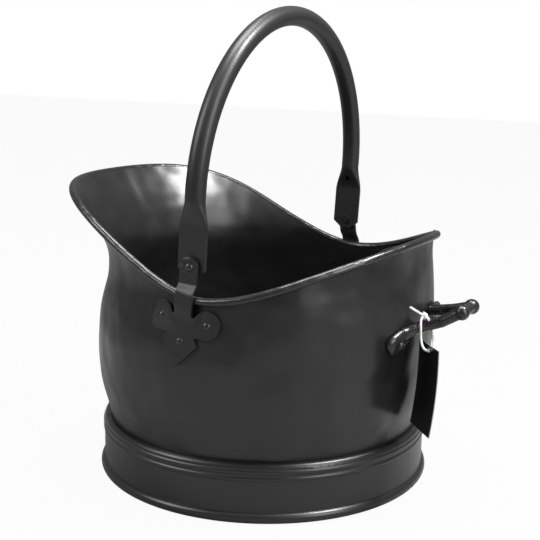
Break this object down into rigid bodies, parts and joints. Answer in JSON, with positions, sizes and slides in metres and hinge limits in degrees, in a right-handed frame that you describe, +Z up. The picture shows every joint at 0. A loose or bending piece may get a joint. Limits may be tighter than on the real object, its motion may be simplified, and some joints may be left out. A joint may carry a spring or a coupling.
{
  "type": "coal scuttle",
  "caption": "Helmet coal scuttle of black painted sheet steel: pouring spout, wired rim, foot ring, swinging bail on riveted brackets, forged tipping handle at the rear.",
  "frame": {"origin": "centre of the foot ring on the floor", "axes": "+Z up, +X towards the rear tipping handle, -X towards the pouring spout, +Y the far side of the picture"},
  "size_m": [0.3748, 0.3057, 0.4113],
  "materials": {
    "tub_shell": "satin",
    "rolled_rim": "satin",
    "rim_wire": "satin",
    "foot_ring": "satin",
    "foot_wire": "satin",
    "bottom_pan": "satin",
    "bail_handle": "satin",
    "bracket_near": "satin",
    "bracket_far": "satin",
    "bracket_rivets_near": "satin",
    "bracket_rivets_far": "satin",
    "pivot_rivet_near": "satin",
    "pivot_rivet_far": "satin",
    "rear_handle": "satin",
    "rear_handle_rivets": "satin",
    "tag_card": "matt",
    "tag_tie": "matt"
  },
  "bodies": {
    "scuttle": {"tub_shell": "tub_shell", "rolled_rim": "rolled_rim", "rim_wire": "rim_wire", "foot_ring": "foot_ring", "foot_wire": "foot_wire", "bottom_pan": "bottom_pan", "bracket_near": "bracket_near", "bracket_far": "bracket_far", "bracket_rivets_near": "bracket_rivets_near", "bracket_rivets_far": "bracket_rivets_far", "pivot_rivet_near": "pivot_rivet_near", "pivot_rivet_far": "pivot_rivet_far", "rear_handle": "rear_handle", "rear_handle_rivets": "rear_handle_rivets"},
    "bail": {"bail_handle": "bail_handle"},
    "tag": {"tag_card": "tag_card", "tag_tie": "tag_tie"}
  },
  "joints": [
    {"name": "bail_hinge", "type": "hinge", "parent": "scuttle", "child": "bail", "pos_m": [0.012, 0, 0.2078], "axis": [0, 1, 0], "range_deg": [-68, 85]},
    {"name": "tag_swing", "type": "hinge", "parent": "scuttle", "child": "tag", "pos_m": [0.161, -0.0154, 0.1531], "axis": [0.9287, 0.085, 0.3609], "range_deg": [-10, 5]}
  ]
}
